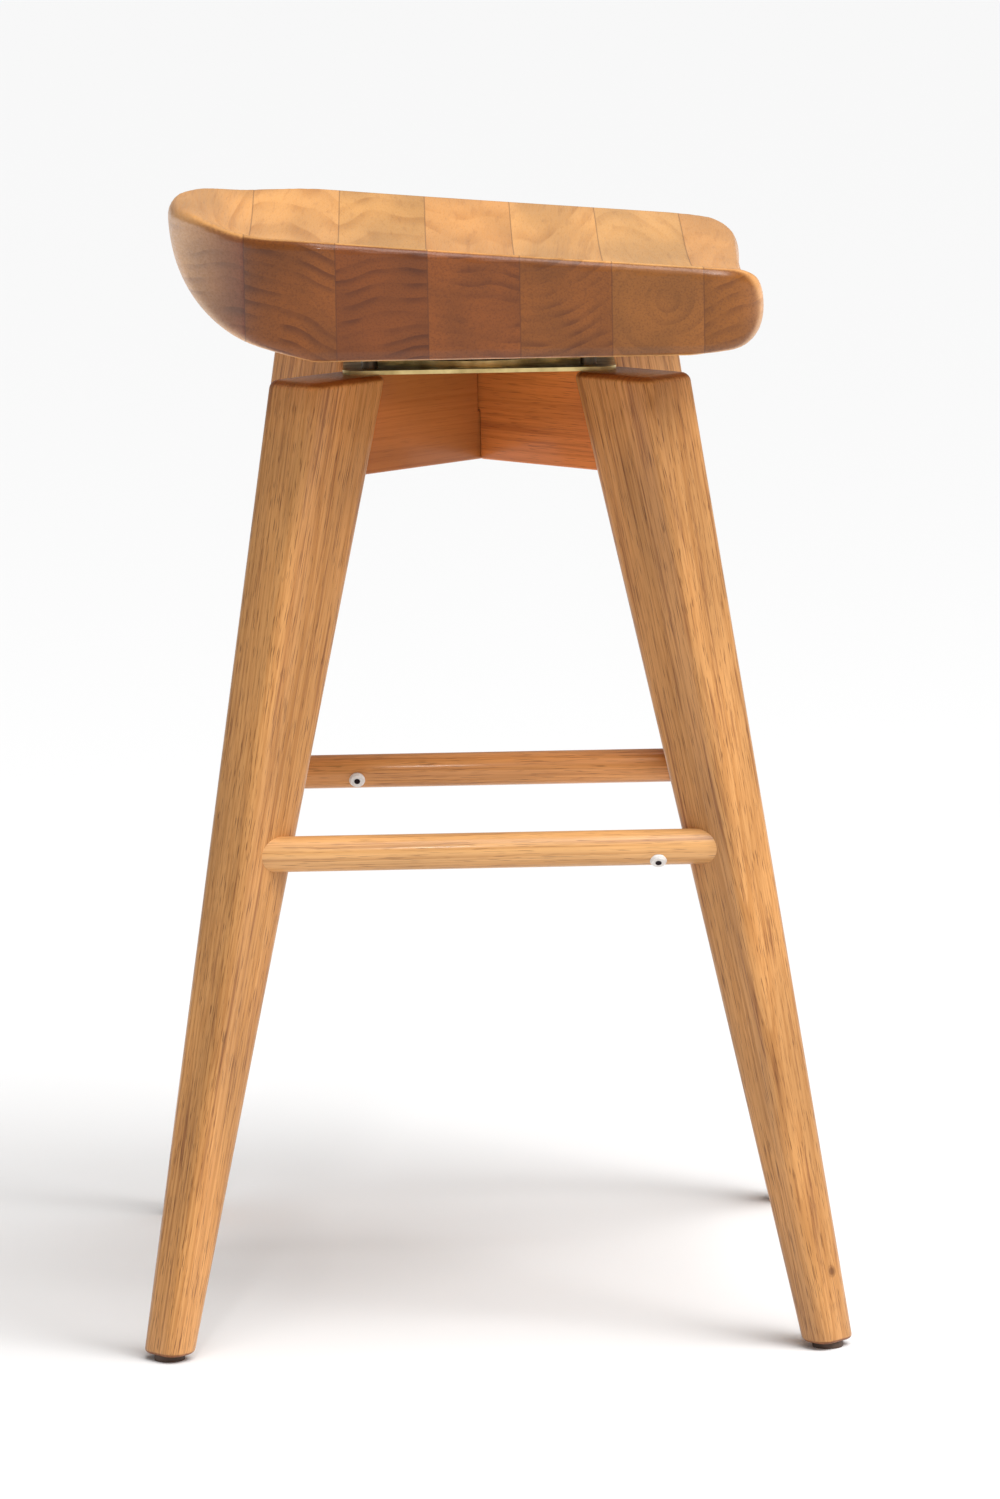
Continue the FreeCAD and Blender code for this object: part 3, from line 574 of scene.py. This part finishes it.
def relaxed(points, faces, rounds=6):
    edges = np.concatenate([faces[:, [i, (i + 1) % 4]] for i in range(4)])
    for _ in range(rounds):
        total = np.zeros_like(points)
        count = np.zeros(len(points))
        np.add.at(total, edges[:, 0], points[edges[:, 1]])
        np.add.at(count, edges[:, 0], 1)
        points = points * 0.5 + total / count[:, None] * 0.5
        for _ in range(3):
            points = points - seatSlope(points) * seatDistance(points)[:, None]
    return points


def staveMesh(whole, low, high):
    build = bmesh.new()
    build.from_mesh(whole)
    for x, keepAbove in ((low, True), (high, False)):
        if x is None:
            continue
        everything = list(build.verts) + list(build.edges) + list(build.faces)
        cut = bmesh.ops.bisect_plane(build, geom=everything, dist=1e-7, plane_co=(x * mm, 0, 0),
                                     plane_no=(1, 0, 0), clear_inner=keepAbove, clear_outer=not keepAbove)
        rim = [e for e in cut["geom_cut"] if isinstance(e, bmesh.types.BMEdge)]
        bmesh.ops.contextual_create(build, geom=rim)
    mesh = bpy.data.meshes.new("stave")
    build.to_mesh(mesh)
    build.free()
    # the carved faces take their normals from the shape itself, so that the staves read as one surface
    mesh.shade_smooth()
    normals = np.zeros((len(mesh.loops), 3))
    where = np.array([v.co for v in mesh.vertices]) / mm
    carved = seatSlope(where)
    for face in mesh.polygons:
        flat = len(face.vertices) > 5 or abs(face.normal.x) > 0.9999
        for loop in face.loop_indices:
            normals[loop] = face.normal if flat else carved[mesh.loops[loop].vertex_index]
    mesh.normals_split_custom_set(normals.tolist())
    return mesh


# Where each stave's pith lies from its own middle, in x and z, its tones, and how strong its rings are.
# The end tones are partly painted shade: they darken the seat's sides beyond the end grain's own colour.
staveLooks = [
    {"pith": (20, -170), "tone": "#EFE4CA", "end": "#C48E60", "figure": 0.7},
    {"pith": (-34, -120), "tone": "#F1E7CE", "end": "#D3B992", "figure": 0.75},
    {"pith": (12, -150), "tone": "#EAE2C6", "end": "#C4A481", "figure": 0.75},
    {"pith": (28, 190), "tone": "#EEE0C5", "end": "#D0B291", "figure": 0.6},
    {"pith": (-30, 110), "tone": "#F1E9D2", "end": "#D0BB9A", "figure": 0.7},
    {"pith": (-4, -3), "tone": "#F1EDDA", "end": "#E1D8C6", "figure": 0.3},
    {"pith": (30, -90), "tone": "#F1E5D0", "end": "#D8CAA4", "figure": 0.6},
]
seatPoints, seatFaces = seatSurface()
seatPoints = relaxed(seatPoints, seatFaces)
wholeSeat = bpy.data.meshes.new("wholeSeat")
wholeSeat.from_pydata((seatPoints * mm).tolist(), [], seatFaces.tolist())
edges = [None] + seat["joints"] + [None]
for i, look in enumerate(staveLooks):
    low, high = edges[i], edges[i + 1]
    middle = ((low or seat["back"]) + (high or seat["front"])) / 2
    pith = (middle + look["pith"][0], 0, seat["middleZ"] + look["pith"][1])
    joints = [x for x in (low, high) if x is not None]
    # the sawn length runs a little off the stave's own line, so that the figure drifts
    along = (seat["drift"][0] * math.sin(i * 2.1), 1, seat["drift"][1] * math.cos(i * 1.7))
    material = woodMaterial("lacqueredRubberwood_stave_%d" % (i + 1), along, pith,
                            seat["seed"] + i * seat["seedStep"], look["tone"], look["end"], joints,
                            ring=seat["ring"], figure=look["figure"], lines=seat["lines"])
    newPiece("seat_stave_%d_shape" % (i + 1), staveMesh(wholeSeat, low, high), "seat",
             "seat_stave_%d" % (i + 1), material)
bpy.data.meshes.remove(wholeSeat)
print("seat")


# Pressed steel, zinc plated and passivated: a soft shine under faint cloudy spangle, with a fine grit
# that breaks up the highlights. The balls are ground bearing steel, and the nails blackened wire.
metal = {
    "spangle": 11.1,    # mm across a cloud of spangle
    "grit": 0.625,      # mm, drawn coarse enough to show
    "bump": 0.12, "bumpDepth": 0.05, "smoother": 0.06, "rougher": 0.12,
}


def platedSteel(name, light, dark, roughness):
    material = newMaterial(name)
    tree = material.node_tree
    place = addNode(tree, "ShaderNodeTexCoord").outputs["Object"]
    spangle = addNode(tree, "ShaderNodeTexNoise", {"Vector": place, "Scale": 1 / (metal["spangle"] * mm),
                                                    "Detail": 4.0})
    grit = addNode(tree, "ShaderNodeTexNoise", {"Vector": place, "Scale": 1 / (metal["grit"] * mm),
                                                 "Detail": 2.0})
    share = addNode(tree, "ShaderNodeMapRange", {0: spangle, 1: 0.35, 2: 0.7})
    colour = addNode(tree, "ShaderNodeMix", {0: share, 6: linear(light), 7: linear(dark)}, **inColour)
    rough = addNode(tree, "ShaderNodeMapRange", {0: spangle, 1: 0.3, 2: 0.75,
                                                  3: roughness - metal["smoother"],
                                                  4: roughness + metal["rougher"]})
    bump = addNode(tree, "ShaderNodeBump", {"Height": grit, "Strength": metal["bump"],
                                             "Distance": metal["bumpDepth"] * mm})
    shader = addNode(tree, "ShaderNodeBsdfPrincipled", {"Base Color": colour, "Metallic": 1.0,
                                                         "Roughness": rough, "Normal": bump})
    return finishMaterial(material, shader)


# Injection-moulded nylon or polyethylene: the mould's fine spark-eroded grain gives it a dull, even
# sheen, and it is a little grubby in patches.
plastic = {
    "mottle": 3.85,    # mm across a grubby patch
    "grain": 0.333,    # mm, drawn coarse enough to show
    "bump": 0.15, "bumpDepth": 0.04, "ior": 1.53, "spread": 0.08,
}


def mouldedPlastic(name, light, dark, roughness):
    material = newMaterial(name)
    tree = material.node_tree
    place = addNode(tree, "ShaderNodeTexCoord").outputs["Object"]
    mottle = addNode(tree, "ShaderNodeTexNoise", {"Vector": place, "Scale": 1 / (plastic["mottle"] * mm),
                                                   "Detail": 3.0})
    grain = addNode(tree, "ShaderNodeTexNoise", {"Vector": place, "Scale": 1 / (plastic["grain"] * mm),
                                                  "Detail": 1.0})
    colour = addNode(tree, "ShaderNodeMix", {0: mottle, 6: linear(light), 7: linear(dark)}, **inColour)
    rough = addNode(tree, "ShaderNodeMapRange", {0: mottle, 3: roughness - plastic["spread"],
                                                  4: roughness + plastic["spread"]})
    bump = addNode(tree, "ShaderNodeBump", {"Height": grain, "Strength": plastic["bump"],
                                             "Distance": plastic["bumpDepth"] * mm})
    shader = addNode(tree, "ShaderNodeBsdfPrincipled", {"Base Color": colour, "Roughness": rough,
                                                         "IOR": plastic["ior"], "Normal": bump})
    return finishMaterial(material, shader)


yellowZinc = platedSteel("yellowZincPlatedSteel", "#EAD496", "#BCA670", 0.34)
brightZinc = platedSteel("brightZincPlatedSteel", "#C8C8C4", "#95948E", 0.3)
darkZinc = platedSteel("oiledZincPlatedSteel", "#6A6052", "#453D34", 0.42)
ballSteel = platedSteel("polishedBearingSteel", "#D6D6D4", "#B4B4B2", 0.14)
nailSteel = platedSteel("blackenedSteelWire", "#2C2226", "#1B1518", 0.45)
whiteNylon = mouldedPlastic("mouldedWhiteNylon", "#ECE8E4", "#D6D0CA", 0.42)
brownPlastic = mouldedPlastic("mouldedBrownPolyethylene", "#5C4334", "#3E2C22", 0.55)
pegWood = woodMaterial("bareBeech_pegs", (1, 1, 0), (0, 0, 500), 40.0, "#FBE9D2", ring=4.0)

nodeMaterials = {
    "swivel_lower_plate": yellowZinc, "swivel_upper_plate": darkZinc, "swivel_eyelet": brightZinc,
    "swivel_ball_cage": brightZinc, "swivel_balls": ballSteel, "lower_plate_screws": darkZinc,
    "upper_plate_screws": darkZinc, "footrest_buttons": whiteNylon, "button_nails": nailSteel,
    "foot_glides": brownPlastic, "glide_nails": brightZinc, "joint_pegs": pegWood,
}
for name, material in nodeMaterials.items():
    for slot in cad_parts[name].material_slots:
        slot.material = material
print("metal and plastic")


floorLooks = {"reach": 60, "colour": "#E9E9E9", "roughness": 0.9, "specular": 0.1}


def addStage():
    mesh = bpy.data.meshes.new("floor")
    far = floorLooks["reach"]
    corners = [(-far, -far, 0), (far, -far, 0), (far, far, 0), (-far, far, 0)]
    mesh.from_pydata(corners, [], [(0, 1, 2, 3)])
    floor = bpy.data.objects.new("floor", mesh)
    bpy.context.collection.objects.link(floor)
    material = newMaterial("mattSprayedBoard")
    shader = addNode(material.node_tree, "ShaderNodeBsdfPrincipled", {
        "Base Color": linear(floorLooks["colour"]), "Roughness": floorLooks["roughness"],
        "Specular IOR Level": floorLooks["specular"]})
    mesh.materials.append(finishMaterial(material, shader))


studio = {
    "world": 0.27, "aim": (0, 0, 0.4),
    "sun": {"strength": 3.1, "angle": 55, "from": (0.35, -0.25, 1.0)},
    "soft": [
        {"name": "softRight", "power": 20, "size": 1.0, "at": (1.5, -1.1, 2.0)},
        {"name": "softTop", "power": 14, "size": 0.25, "at": (-0.2, -3.0, 2.4)},
    ],
}


def aimed(location, target):
    return (Vector(target) - Vector(location)).to_track_quat("-Z", "Y").to_euler()


def addLights():
    world = bpy.data.worlds.new("studio")
    world.use_nodes = True
    world.node_tree.nodes["Background"].inputs["Color"].default_value = (1, 1, 1, 1)
    world.node_tree.nodes["Background"].inputs["Strength"].default_value = studio["world"]
    bpy.context.scene.world = world
    sun = bpy.data.lights.new("key", "SUN")
    sun.energy = studio["sun"]["strength"]
    sun.angle = math.radians(studio["sun"]["angle"])
    lamp = bpy.data.objects.new("key", sun)
    lamp.rotation_euler = aimed(studio["sun"]["from"], (0, 0, 0))
    bpy.context.collection.objects.link(lamp)
    for spec in studio["soft"]:
        light = bpy.data.lights.new(spec["name"], "AREA")
        light.energy = spec["power"]
        light.size = spec["size"]
        lamp = bpy.data.objects.new(spec["name"], light)
        lamp.location = spec["at"]
        lamp.rotation_euler = aimed(spec["at"], studio["aim"])
        bpy.context.collection.objects.link(lamp)


view = {
    "at": (-0.0446, -4.446, 1.0621), "pan": 0.0122, "down": 0.1602, "roll": 0.0174,
    "sensor": 36.0, "lens": 254.4,
}


def addCamera():
    data = bpy.data.cameras.new("camera")
    data.sensor_fit = "HORIZONTAL"
    data.sensor_width = view["sensor"]
    data.lens = view["lens"]
    data.clip_end = 200
    camera = bpy.data.objects.new("camera", data)
    pan, down, roll = view["pan"], view["down"], view["roll"]
    ahead = Vector((math.sin(pan) * math.cos(down), math.cos(pan) * math.cos(down), -math.sin(down)))
    right = Vector((math.cos(pan), -math.sin(pan), 0))
    up = right.cross(ahead)
    across = right * math.cos(roll) - up * math.sin(roll)
    above = right * math.sin(roll) + up * math.cos(roll)
    turn = Matrix((across, above, -ahead)).transposed()
    camera.rotation_euler = turn.to_euler()
    camera.location = view["at"]
    bpy.context.collection.objects.link(camera)
    bpy.context.scene.camera = camera


addStage()
addLights()
addCamera()
bpy.context.scene.view_settings.view_transform = "Standard"
print("stage")
